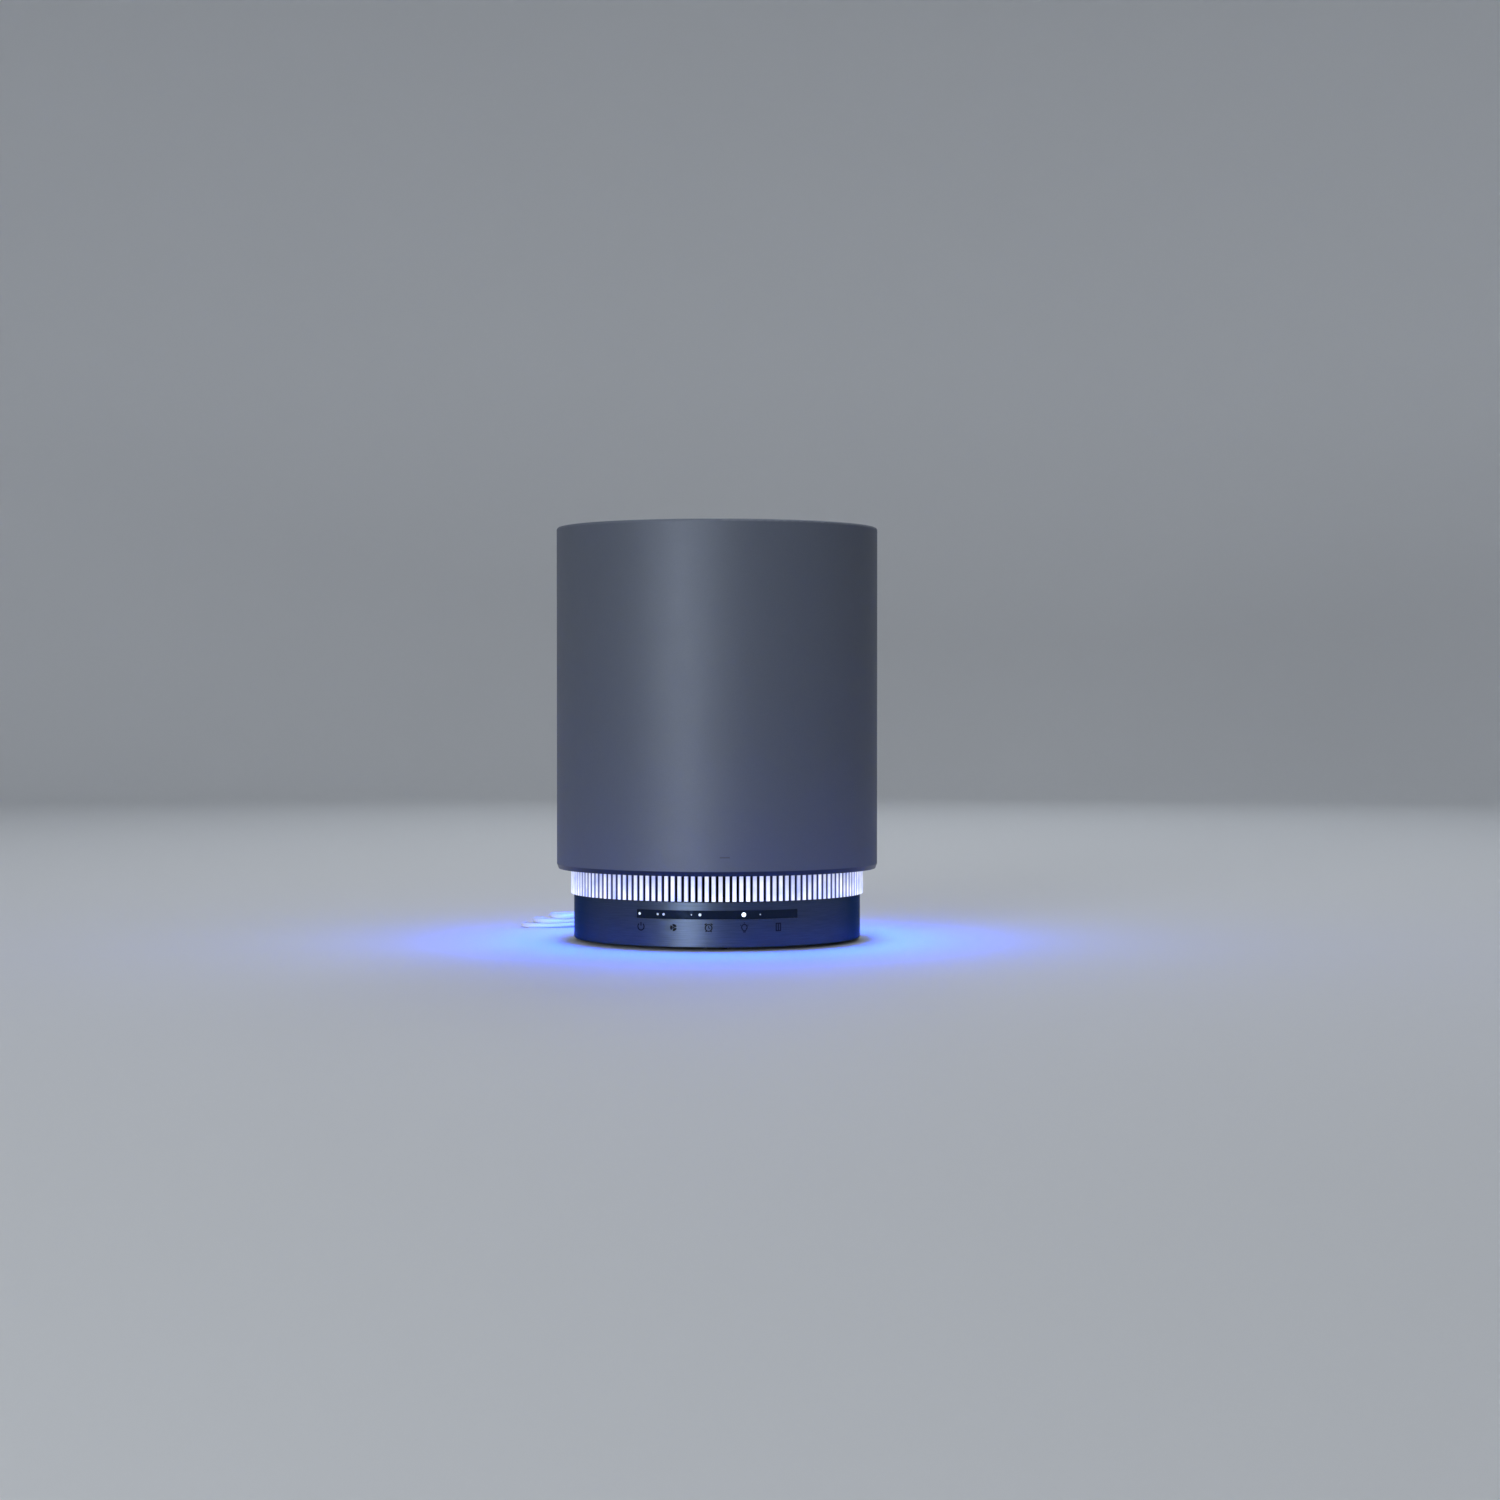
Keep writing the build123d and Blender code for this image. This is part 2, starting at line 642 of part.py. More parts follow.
hub_r = 34.0
vane_count = 48
with BuildPart() as top_grille:
    tube(grille_r, grille_r - 6.0, grille_bottom, grille_top)
    tube(116.5, grille_r - 1.0, grille_bottom, grille_bottom + 3.0)
    tube(hub_r, 0, grille_bottom, grille_top - 1.2)
    for ring_r in (56.0, 77.0):
        tube(ring_r + 0.9, ring_r - 0.9, grille_bottom, grille_top - 2.4)
    with BuildSketch(Plane.XY.offset(grille_bottom)):
        for k in range(vane_count):
            turn = 360.0 / vane_count * k
            with BuildLine(Plane.XY.rotated((0, 0, turn))):
                ThreePointArc((hub_r, 0), (67.0, 9.0), (97.0, 27.5))
                offset(amount=0.8, side=Side.BOTH)
            make_face()
    extrude(amount=grille_top - 0.8 - grille_bottom)
    with BuildSketch(Plane.XY.offset(grille_bottom)):
        with Locations(*grille_screw_places):
            Circle(1.4)
    extrude(amount=3.0, mode=Mode.SUBTRACT)
write(top_grille, "top_grille")

with BuildPart() as grille_cap:
    tube(hub_r - 1.0, 0, grille_top - 1.2, grille_top)
    fillet(grille_cap.edges().group_by(Axis.Z)[-1], 0.6)
    tube(hub_r - 6.0, hub_r - 6.8, grille_top - 0.4, grille_top, mode=Mode.SUBTRACT)
write(grille_cap, "grille_cap")

with BuildPart() as grille_screws:
    screws(grille_screw_places, grille_bottom, 2.4, 1.5, 1.15, 6.0, up=True)
write(grille_screws, "grille_screws")

# ================================================================ power lead
plug_start = jack_face + 0.2
plug_end = plug_start + 19.0
relief_end = plug_end + 20.0
cable_r = cable_d / 2
adapter_x, adapter_z = 46.0, 9.0
adapter_relief_start = 170.0
adapter_start = adapter_relief_start + 16.0
adapter_w, adapter_l, adapter_h = 40.0, 52.0, 27.0

with BuildPart() as dc_plug:
    with BuildSketch(Plane.XZ.offset(-plug_start)):
        with Locations((0, jack_z)):
            Circle(4.75)
    extrude(amount=-(plug_end - plug_start))
    fillet(dc_plug.edges().filter_by(GeomType.CIRCLE), 0.9)
write(dc_plug, "dc_plug")

with BuildPart() as dc_plug_barrel:
    with BuildSketch(Plane.XZ.offset(-plug_start)):
        with Locations((0, jack_z)):
            Circle(2.75)
            Circle(1.25, mode=Mode.SUBTRACT)
    extrude(amount=9.5)
write(dc_plug_barrel, "dc_plug_barrel")

with BuildPart() as plug_relief:
    with BuildSketch(Plane.XZ.offset(-plug_end)):
        with Locations((0, jack_z)):
            Circle(3.4)
    with BuildSketch(Plane.XZ.offset(-relief_end)):
        with Locations((0, jack_z)):
            Circle(2.3)
    loft()
write(plug_relief, "plug_relief")

hank_y = 121.0
hank_left = [-156.0, -147.0, -134.0]  # left end of each layer of turns
hank_right = [-50.0, -51.5, -53.5]
hank_end_r = 16.4
hank_waist = 7.4
tie_x = -105.0
tie_half = 4.5
tie_middle = (hank_y, 6.7)
hank_w, hank_h = 2 * hank_waist, 10.8

lead_route = [
    (0.0, relief_end, jack_z),
    (0.0, 161.0, jack_z),
    (-3.0, 180.0, 5.8),
    (-14.0, 196.0, 1.85),
    (-33.0, 200.0, 1.85),
    (-47.5, 189.5, 1.85),
    (-53.5, 171.5, 1.85),
    (-54.0, 153.0, 1.85),
    (-62.0, 140.0, 1.85),
    (-76.0, 134.0, 1.85),
]
tail_route = [
    (-68.0, 107.0, 9.1),
    (-50.0, 107.5, 8.4),
    (-33.0, 112.0, 4.4),
    (-15.0, 117.5, 1.85),
    (3.0, 121.5, 1.85),
    (20.0, 127.0, 1.85),
    (34.0, 133.0, 2.4),
    (43.0, 143.0, 5.6),
    (adapter_x, 156.0, adapter_z),
    (adapter_x, adapter_relief_start, adapter_z),
]


def corner_radii(route):
    """The radius of the arc at each inner point of a cord's route, as large as its two runs allow."""
    points = [Vector(*p) for p in route]
    radii = []
    for before, here, after in zip(points, points[1:], points[2:], strict=False):
        turn = math.radians((here - before).get_angle(after - here))
        shorter = min((here - before).length, (after - here).length)
        radii.append(0.45 * shorter / math.tan(turn / 2))
    return radii


def cord_tube(route):
    """Adds a round cord along straight runs joined by tangent arcs, and returns its length."""
    radii = corner_radii(route)
    print("cord radii", [round(r) for r in radii])
    with BuildLine() as path:
        FilletPolyline(*route, radius=radii)
    with BuildSketch(Plane(origin=path.line @ 0, z_dir=path.line % 0)) as section:
        Circle(cable_r)
    sweep(section.sketch, path=path.line)
    return sum(edge.length for edge in path.edges())


def report_cord(name, piece, length):
    """Prints a cord's length, and its volume against its section times its length."""
    expected = math.pi * cable_r**2 * length
    print(name, "length", round(length, 1), "volume ratio", round(piece.part.volume / expected, 4))


with BuildPart() as power_lead:
    lead_length = cord_tube(lead_route)
report_cord("power_lead", power_lead, lead_length)
write(power_lead, "power_lead")

with BuildPart() as power_tail:
    tail_length = cord_tube(tail_route)
report_cord("power_tail", power_tail, tail_length)
write(power_tail, "power_tail")

with BuildPart() as cable_hank:
    for layer, (left, right) in enumerate(zip(hank_left, hank_right, strict=True)):
        a, b = left + hank_end_r, right - hank_end_r
        with BuildSketch(Plane.XY.offset(layer * cable_d)):
            with Locations((a, hank_y), (b, hank_y)):
                Circle(hank_end_r)
            Polygon(
                (a, hank_y + hank_end_r),
                (tie_x, hank_y + hank_waist),
                (b, hank_y + hank_end_r),
                (b, hank_y - hank_end_r),
                (tie_x, hank_y - hank_waist),
                (a, hank_y - hank_end_r),
                align=None,
            )
        extrude(amount=cable_d)
    with BuildSketch(Plane.YZ.offset(tie_x - tie_half)):
        with Locations(tie_middle):
            Rectangle(60.0, 60.0)
            Rectangle(hank_w, hank_h, mode=Mode.SUBTRACT)
    extrude(amount=2 * tie_half, mode=Mode.SUBTRACT)
    with BuildSketch(Plane.YZ.offset(tie_x - tie_half)):
        with Locations(tie_middle):
            Rectangle(hank_w, hank_h)
    extrude(amount=2 * tie_half)
write(cable_hank, "cable_hank")

with BuildPart() as cable_tie:
    with BuildSketch(Plane.YZ.offset(tie_x - tie_half)):
        with Locations(tie_middle):
            RectangleRounded(hank_w + 2.4, hank_h + 2.4, 2.5)
            Rectangle(hank_w + 0.1, hank_h + 0.1, mode=Mode.SUBTRACT)
    extrude(amount=2 * tie_half)
write(cable_tie, "cable_tie")

with BuildPart() as adapter_relief:
    with BuildSketch(Plane.XZ.offset(-adapter_relief_start)):
        with Locations((adapter_x, adapter_z)):
            Circle(2.3)
    with BuildSketch(Plane.XZ.offset(-adapter_start)):
        with Locations((adapter_x, adapter_z)):
            Circle(3.6)
    loft()
write(adapter_relief, "adapter_relief")

seam_x = adapter_x + 8.0
seam_gap, seam_depth = 0.9, 0.8
adapter_middle = (adapter_start + adapter_l / 2, adapter_h / 2)
grip_count, grip_pitch = 6, 2.6
with BuildPart() as adapter_case:
    with BuildSketch(Plane.YZ.offset(adapter_x - adapter_w / 2)):
        with Locations(adapter_middle):
            RectangleRounded(adapter_l, adapter_h, 4.0)
    extrude(amount=seam_x - adapter_x + adapter_w / 2)
    fillet(adapter_case.faces().sort_by(Axis.X)[0].edges(), 2.5)
    # A shallow blank panel in the end, and finger grooves in the top.
    with BuildSketch(Plane.YZ.offset(adapter_x - adapter_w / 2)):
        with Locations(adapter_middle):
            RectangleRounded(adapter_l - 14.0, adapter_h - 11.0, 2.0)
    extrude(amount=0.5, mode=Mode.SUBTRACT)
    with BuildSketch(Plane.XY.offset(adapter_h)):
        with Locations((adapter_x - 5.0, adapter_middle[0])):
            with GridLocations(grip_pitch, 0, grip_count, 1):
                SlotOverall(30.0, 1.3, rotation=90)
    extrude(amount=-0.7, mode=Mode.SUBTRACT)
write(adapter_case, "adapter_case")

with BuildPart() as adapter_front:
    # The narrower collar leaves a groove where the front meets the case.
    with BuildSketch(Plane.YZ.offset(seam_x)):
        with Locations(adapter_middle):
            RectangleRounded(adapter_l - 2 * seam_depth, adapter_h - 2 * seam_depth, 3.4)
    extrude(amount=seam_gap)
    with BuildSketch(Plane.YZ.offset(seam_x + seam_gap)):
        with Locations(adapter_middle):
            RectangleRounded(adapter_l, adapter_h, 4.0)
    extrude(amount=adapter_x + adapter_w / 2 - seam_x - seam_gap)
    chamfer(adapter_front.faces().sort_by(Axis.X)[-1].edges(), 1.2)
write(adapter_front, "adapter_front")

prong_r, prong_length, prong_gap = 2.0, 19.0, 18.6
prong_y = adapter_middle[0]
with BuildPart() as adapter_prongs:
    for side in (-1, 1):
        with BuildSketch(Plane.YZ.offset(adapter_x + adapter_w / 2)):
            with Locations((prong_y + side * prong_gap / 2, adapter_h / 2)):
                Circle(prong_r)
        extrude(amount=prong_length)
    fillet(adapter_prongs.edges().group_by(Axis.X)[-1], 0.9)
write(adapter_prongs, "adapter_prongs")
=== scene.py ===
"""Looks for the table-top air purifier: materials, printed symbols, the power lead, floor, light and camera.

Metres, in the CAD model's frame: +Z up, the controls face -Y, and the origin is on the table under the
cover's axis. Angles called azimuth run from -Y (the front) towards +X.
"""

import math

import bpy
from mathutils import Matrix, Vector


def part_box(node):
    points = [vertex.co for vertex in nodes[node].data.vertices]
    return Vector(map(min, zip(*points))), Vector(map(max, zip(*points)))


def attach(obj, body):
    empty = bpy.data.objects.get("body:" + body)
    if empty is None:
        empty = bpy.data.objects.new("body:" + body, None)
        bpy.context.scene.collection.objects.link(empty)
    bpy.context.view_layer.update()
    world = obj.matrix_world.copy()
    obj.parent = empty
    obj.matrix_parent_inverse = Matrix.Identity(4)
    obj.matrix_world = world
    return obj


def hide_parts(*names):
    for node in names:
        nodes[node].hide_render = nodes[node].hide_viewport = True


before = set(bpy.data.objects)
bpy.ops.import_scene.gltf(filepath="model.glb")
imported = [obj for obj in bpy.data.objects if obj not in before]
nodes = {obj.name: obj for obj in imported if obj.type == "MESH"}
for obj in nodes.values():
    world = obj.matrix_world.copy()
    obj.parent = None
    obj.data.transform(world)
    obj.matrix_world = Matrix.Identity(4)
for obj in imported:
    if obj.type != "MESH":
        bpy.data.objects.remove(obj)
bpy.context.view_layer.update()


# ================================================================ sizes
def outer_radius(node):
    """The radius of a round CAD node about the Z axis."""
    low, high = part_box(node)
    return (high.x - low.x) / 2


base_r = outer_radius("base_shell")
ring_r = outer_radius("light_ring")
cover_r = outer_radius("cover_shell")
cover_low, cover_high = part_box("cover_shell")
fin_count = 138
cable_d = 0.0036


# ================================================================ material helpers
def blank(name, color, roughness, metallic=0.0, coat=0.0):
    """A Principled material, and its node tree, shader and the piece's own coordinates."""
    material = bpy.data.materials.new(name)
    material.use_nodes = True
    tree = material.node_tree
    shader = tree.nodes["Principled BSDF"]
    shader.inputs["Base Color"].default_value = (*color, 1.0)
    shader.inputs["Roughness"].default_value = roughness
    shader.inputs["Metallic"].default_value = metallic
    shader.inputs["Coat Weight"].default_value = coat
    shader.inputs["Coat Roughness"].default_value = 0.15
    place = tree.nodes.new("ShaderNodeTexCoord").outputs["Object"]
    return material, tree, shader, place


def noise(tree, place, scale, detail=4.0, stretch=None):
    """The factor of a noise texture, in features per metre, drawn out along the axes with a small stretch."""
    if stretch is not None:
        mapping = tree.nodes.new("ShaderNodeMapping")
        mapping.inputs["Scale"].default_value = stretch
        tree.links.new(place, mapping.inputs["Vector"])
        place = mapping.outputs["Vector"]
    texture = tree.nodes.new("ShaderNodeTexNoise")
    texture.inputs["Scale"].default_value = scale
    texture.inputs["Detail"].default_value = detail
    tree.links.new(place, texture.inputs["Vector"])
    return texture.outputs["Fac"]


def remap(tree, value, low, high, start=0.3, end=0.7):
    """A value from start..end carried to low..high. The default start and end suit a noise texture."""
    node = tree.nodes.new("ShaderNodeMapRange")
    node.inputs["From Min"].default_value = start
    node.inputs["From Max"].default_value = end
    node.inputs["To Min"].default_value = low
    node.inputs["To Max"].default_value = high
    tree.links.new(value, node.inputs["Value"])
    return node.outputs["Result"]


def mix(tree, factor, first, second):
    """A colour between two, each either a colour or a socket."""
    node = tree.nodes.new("ShaderNodeMix")
    node.data_type = "RGBA"
    tree.links.new(factor, node.inputs["Factor"])
    for socket, value in ((node.inputs[6], first), (node.inputs[7], second)):
        if isinstance(value, bpy.types.NodeSocket):
            tree.links.new(value, socket)
        else:
            socket.default_value = (*value, 1.0)
    return node.outputs[2]


def math_node(tree, operation, first, second=0.0):
    """One arithmetic step on sockets or numbers."""
    node = tree.nodes.new("ShaderNodeMath")
    node.operation = operation
    for socket, value in zip(node.inputs, (first, second), strict=False):
        if isinstance(value, bpy.types.NodeSocket):
            tree.links.new(value, socket)
        else:
            socket.default_value = value
    return node.outputs["Value"]


def bump(tree, shader, height, distance, strength=1.0):
    """Raises the surface by a height of 0 to 1 times a distance in metres, over any bump it has."""
    node = tree.nodes.new("ShaderNodeBump")
    node.inputs["Distance"].default_value = distance
    node.inputs["Strength"].default_value = strength
    tree.links.new(height, node.inputs["Height"])
    if shader.inputs["Normal"].links:
        tree.links.new(shader.inputs["Normal"].links[0].from_socket, node.inputs["Normal"])
    tree.links.new(node.outputs["Normal"], shader.inputs["Normal"])


def shade(color, factor):
    """A colour made lighter or darker."""
    return tuple(min(1.0, channel * factor) for channel in color)


def moulded(name, color, roughness, grain=2200.0, depth=0.00003, coat=0.0, spread=0.06):
    """Moulded plastic or rubber: a fine grain, with slight changes of tone and gloss."""
    material, tree, shader, place = blank(name, color, roughness, coat=coat)
    cloud = remap(tree, noise(tree, place, 18.0), 0.0, 1.0)
    tone = mix(tree, cloud, shade(color, 1 - spread), shade(color, 1 + spread))
    tree.links.new(tone, shader.inputs["Base Color"])
    gloss = remap(tree, noise(tree, place, 90.0), roughness - 0.05, roughness + 0.06)
    tree.links.new(gloss, shader.inputs["Roughness"])
    bump(tree, shader, noise(tree, place, grain, 2.0), depth)
    return material


def metal(name, color, roughness, stretch=(1, 1, 1), grain=900.0, depth=0.00001, spread=0.1):
    """Bare or plated metal with fine marks, drawn out along the axes with a small stretch."""
    material, tree, shader, place = blank(name, color, roughness, metallic=1.0)
    marks = noise(tree, place, grain, 3.0, stretch)
    tone = mix(tree, remap(tree, marks, 0.0, 1.0), shade(color, 1 - spread), shade(color, 1 + spread))
    tree.links.new(tone, shader.inputs["Base Color"])
    tree.links.new(remap(tree, marks, roughness - 0.06, roughness + 0.08), shader.inputs["Roughness"])
    bump(tree, shader, marks, depth)
    return material


def coordinate(tree, place, axis):
    """A point's X, Y or Z."""
    parts = tree.nodes.new("ShaderNodeSeparateXYZ")
    tree.links.new(place, parts.inputs["Vector"])
    return parts.outputs[axis]


def turns_round(tree, place):
    """How far round the Z axis a point is, from +X, in turns."""
    angle = math_node(tree, "ARCTAN2", coordinate(tree, place, "Y"), coordinate(tree, place, "X"))
    return math_node(tree, "DIVIDE", angle, math.tau)


def distance_out(tree, place):
    """A point's distance from the Z axis."""
    x, y = coordinate(tree, place, "X"), coordinate(tree, place, "Y")
    squares = [math_node(tree, "MULTIPLY", side, side) for side in (x, y)]
    return math_node(tree, "SQRT", math_node(tree, "ADD", *squares))


def waves(tree, value, per_unit):
    """A sine of a value, with a number of waves in each unit of it."""
    return math_node(tree, "SINE", math_node(tree, "MULTIPLY", value, math.tau * per_unit))


# ================================================================ materials
def cover_material():
    """Cool grey satin paint with a fine orange peel and speckle, painted shade on the lower lip and a painted
    highlight along the top rim.
    """
    color = (0.102, 0.116, 0.150)
    lip_shade_color = (0.010, 0.014, 0.030)
    lip_top = cover_low.z + 0.0034
    lip_blur = 0.0002
    rim_low, rim_top = cover_high.z - 0.0022, cover_high.z - 0.0003
    material, tree, shader, place = blank("cover_satin", color, 0.55, metallic=0.35)
    cloud = remap(tree, noise(tree, place, 9.0, 5.0), 0.0, 1.0)
    tone = mix(tree, cloud, shade(color, 0.98), shade(color, 1.02))
    speck = remap(tree, noise(tree, place, 1900.0, 2.0), 0.0, 1.0, 0.35, 0.65)
    paint = mix(tree, speck, tone, shade(color, 1.09))
    height = coordinate(tree, place, "Z")
    # Painted highlight: the paint grows lighter towards the top rim, as if its edge caught the light.
    rim_highlight = remap(tree, height, 0.0, 0.6, rim_low, rim_top)
    rim_highlighted = mix(tree, rim_highlight, paint, shade(color, 1.9))
    # Painted shade: the lower lip is painted near black, as the shade under the cover's edge, and made a
    # little glossier.
    lip_shade = remap(tree, height, 1.0, 0.0, lip_top - lip_blur, lip_top + lip_blur)
    tree.links.new(mix(tree, lip_shade, rim_highlighted, lip_shade_color), shader.inputs["Base Color"])
    satin = remap(tree, noise(tree, place, 60.0), 0.545, 0.575)
    gloss = math_node(tree, "SUBTRACT", satin, math_node(tree, "MULTIPLY", lip_shade, 0.25))
    tree.links.new(gloss, shader.inputs["Roughness"])
    bump(tree, shader, noise(tree, place, 1500.0, 3.0), 0.00004)
    bump(tree, shader, noise(tree, place, 260.0, 2.0), 0.00005)
    return material


def base_material():
    """Dark satin metallic paint over a finely turned drum, with the turning marks round it."""
    color = (0.062, 0.080, 0.112)
    material, tree, shader, place = blank("base_metallic", color, 0.34, metallic=0.95)
    shader.inputs["Specular Tint"].default_value = (0.25, 0.33, 0.5, 1.0)
    turned = noise(tree, place, 2400.0, 3.0, (0.03, 0.03, 1.0))
    tone = mix(tree, remap(tree, turned, 0.0, 1.0), shade(color, 0.85), shade(color, 1.18))
    tree.links.new(tone, shader.inputs["Base Color"])
    tree.links.new(remap(tree, turned, 0.31, 0.42), shader.inputs["Roughness"])
    bump(tree, shader, turned, 0.00001)
    bump(tree, shader, noise(tree, place, 3000.0, 2.0), 0.00001)
    return material


def fin_material():
    """Lit light guide: white-blue on the fins' outer faces, blue on their sides, with painted shade darkening
    the fins towards the slots.
    """
    slot_shade_color, side_color = (0.001, 0.002, 0.008), (0.05, 0.065, 0.14)
    face_blue, face_white, side_blue = (0.52, 0.60, 1.0), (0.88, 0.92, 1.0), (0.16, 0.20, 0.9)
    face_power, side_power = 1.3, 0.18
    ring_low, ring_high = 0.038, 0.056
    material, tree, shader, place = blank("light_guide", (0.5, 0.58, 0.75), 0.3)

    # How near a point is to the outer face of its fin, and how far out it is on the fin's side.
    radius = distance_out(tree, place)
    face = remap(tree, radius, 0.0, 1.0, ring_r - 0.0009, ring_r - 0.0001)
    side = remap(tree, radius, 0.0, 1.0, ring_r - 0.0042, ring_r - 0.0004)
    # Painted shade: the base colour darkens to near black deeper into the slots between the fins.
    tree.links.new(mix(tree, side, slot_shade_color, side_color), shader.inputs["Base Color"])

    tint = remap(tree, noise(tree, place, 90.0, 3.0), 0.0, 1.0)
    light = mix(tree, face, side_blue, mix(tree, tint, face_blue, face_white))
    tree.links.new(light, shader.inputs["Emission Color"])

    # Each fin has its own brightness, and all of them fade towards the top.
    number = math_node(tree, "ROUND", math_node(tree, "MULTIPLY", turns_round(tree, place), fin_count))
    each = tree.nodes.new("ShaderNodeTexWhiteNoise")
    each.noise_dimensions = "1D"
    tree.links.new(number, each.inputs["W"])
    level = remap(tree, each.outputs["Value"], 0.70, 1.0, 0.0, 1.0)
    fade = remap(tree, coordinate(tree, place, "Z"), 1.0, 0.6, ring_low, ring_high)
    from_face = math_node(tree, "MULTIPLY", math_node(tree, "MULTIPLY", face, face_power), level)
    from_side = math_node(tree, "MULTIPLY", math_node(tree, "POWER", side, 3.0), side_power)
    power = math_node(tree, "MULTIPLY", math_node(tree, "ADD", from_face, from_side), fade)
    tree.links.new(power, shader.inputs["Emission Strength"])
    return material


def window_material():
    """Smoked, polished acrylic with a faint film of dust."""
    material, tree, shader, place = blank("smoked_window", (0.002, 0.004, 0.010), 0.09)
    shader.inputs["Specular Tint"].default_value = (0.35, 0.55, 1.0, 1.0)
    tree.links.new(remap(tree, noise(tree, place, 420.0), 0.06, 0.16), shader.inputs["Roughness"])
    return material


def indicator_material():
    """Light pipes, each as bright as the step of the ramp that it stands on along X."""
    row_left, row_right = -0.06, 0.04
    steps = [(0.0, 0.95), (0.12, 0.40), (0.35, 0.25), (0.45, 0.75), (0.6, 3.0), (0.85, 0.25)]
    brightest = max(level for _, level in steps)
    material, tree, shader, place = blank("indicator_lenses", (0.30, 0.36, 0.44), 0.25, coat=0.5)
    ramp = tree.nodes.new("ShaderNodeValToRGB")
    ramp.color_ramp.interpolation = "CONSTANT"
    elements = ramp.color_ramp.elements
    for position, _ in steps[2:]:
        elements.new(position)
    for element, (position, level) in zip(elements, steps, strict=True):
        element.position = position
        element.color = (*[level / brightest] * 3, 1.0)
    span = remap(tree, coordinate(tree, place, "X"), 0.0, 1.0, row_left, row_right)
    tree.links.new(span, ramp.inputs["Fac"])
    power = math_node(tree, "MULTIPLY", ramp.outputs["Color"], brightest)
    shader.inputs["Emission Color"].default_value = (0.75, 0.87, 1.0, 1.0)
    tree.links.new(power, shader.inputs["Emission Strength"])
    return material


def media_material():
    """Folded fibre sheet: soft white fibres with grey dust on the outer folds."""
    dust_color = (0.42, 0.41, 0.39)
    dust_from_r, dust_full_r = 0.086, 0.097
    material, tree, shader, place = blank("pleated_paper", (0.82, 0.82, 0.78), 0.9)
    fibres = noise(tree, place, 1400.0, 4.0, (1.0, 1.0, 0.25))
    clean = mix(tree, remap(tree, fibres, 0.0, 1.0), (0.74, 0.74, 0.70), (0.88, 0.88, 0.85))
    dust = remap(tree, distance_out(tree, place), 0.0, 0.35, dust_from_r, dust_full_r)
    tree.links.new(mix(tree, dust, clean, dust_color), shader.inputs["Base Color"])
    bump(tree, shader, fibres, 0.0002)
    return material


def net_material():
    """Woven pre-filter net, drawn as a fine mesh round and along the sleeve."""
    threads_round = 300
    thread_pitch = 0.002
    material, tree, shader, place = blank("prefilter_net", (0.25, 0.26, 0.28), 0.75)
    upright = waves(tree, turns_round(tree, place), threads_round)
    level = waves(tree, coordinate(tree, place, "Z"), 1 / thread_pitch)
    weave = remap(tree, math_node(tree, "MAXIMUM", upright, level), 0.0, 1.0, 0.2, 0.9)
    tree.links.new(mix(tree, weave, (0.07, 0.075, 0.08), (0.36, 0.38, 0.41)), shader.inputs["Base Color"])
    bump(tree, shader, weave, 0.0004)
    return material


def board_material():
    """Green solder mask with tracks just showing through."""
    material, tree, shader, place = blank("circuit_board", (0.02, 0.13, 0.06), 0.35, coat=0.4)
    cells = tree.nodes.new("ShaderNodeTexVoronoi")
    cells.distance = "MANHATTAN"
    cells.feature = "DISTANCE_TO_EDGE"
    cells.inputs["Scale"].default_value = 140.0
    tree.links.new(place, cells.inputs["Vector"])
    track = remap(tree, cells.outputs["Distance"], 1.0, 0.0, 0.03, 0.07)
    tree.links.new(mix(tree, track, (0.012, 0.10, 0.045), (0.04, 0.22, 0.10)), shader.inputs["Base Color"])
    bump(tree, shader, track, 0.00003)
    return material


def copper_material():
    """Enamelled winding wire, with its turns drawn as fine level bands."""
    material, tree, shader, place = blank("copper", (0.70, 0.30, 0.13), 0.3, metallic=1.0)
    wave = tree.nodes.new("ShaderNodeTexWave")
    wave.bands_direction = "Z"
    wave.inputs["Scale"].default_value = 320.0
    wave.inputs["Distortion"].default_value = 0.6
    tree.links.new(place, wave.inputs["Vector"])
    height = wave.outputs["Fac"]
    tree.links.new(mix(tree, height, (0.45, 0.17, 0.07), (0.80, 0.38, 0.18)), shader.inputs["Base Color"])
    bump(tree, shader, height, 0.0001)
    return material


def laminated_material():
    """Stacked steel sheets with dark lines between them."""
    sheet_pitch = 0.0005
    material, tree, shader, place = blank("laminated_steel", (0.33, 0.34, 0.36), 0.38, metallic=1.0)
    sheets = waves(tree, coordinate(tree, place, "Z"), 1 / sheet_pitch)
    line = remap(tree, sheets, 0.0, 1.0, -0.6, 0.4)
    tree.links.new(mix(tree, line, (0.12, 0.12, 0.13), (0.40, 0.41, 0.43)), shader.inputs["Base Color"])
    bump(tree, shader, line, 0.00005)
    return material


steel = metal("zinc_steel", (0.55, 0.56, 0.58), 0.3)
black_plastic = moulded("black_plastic", (0.030, 0.032, 0.036), 0.48, grain=1400.0)
rubber = moulded("foot_rubber", (0.018, 0.018, 0.020), 0.75, grain=900.0, depth=0.00006)
white_plastic = moulded("filter_plastic", (0.66, 0.67, 0.68), 0.45)
white_pvc = moulded("white_pvc", (0.74, 0.76, 0.80), 0.36, grain=700.0, depth=0.00002)
adapter_plastic = moulded("adapter_plastic", (0.70, 0.71, 0.73), 0.5, grain=1100.0, depth=0.00005)
board = board_material()
nickel = metal("nickel", (0.72, 0.70, 0.66), 0.2)
copper = copper_material()

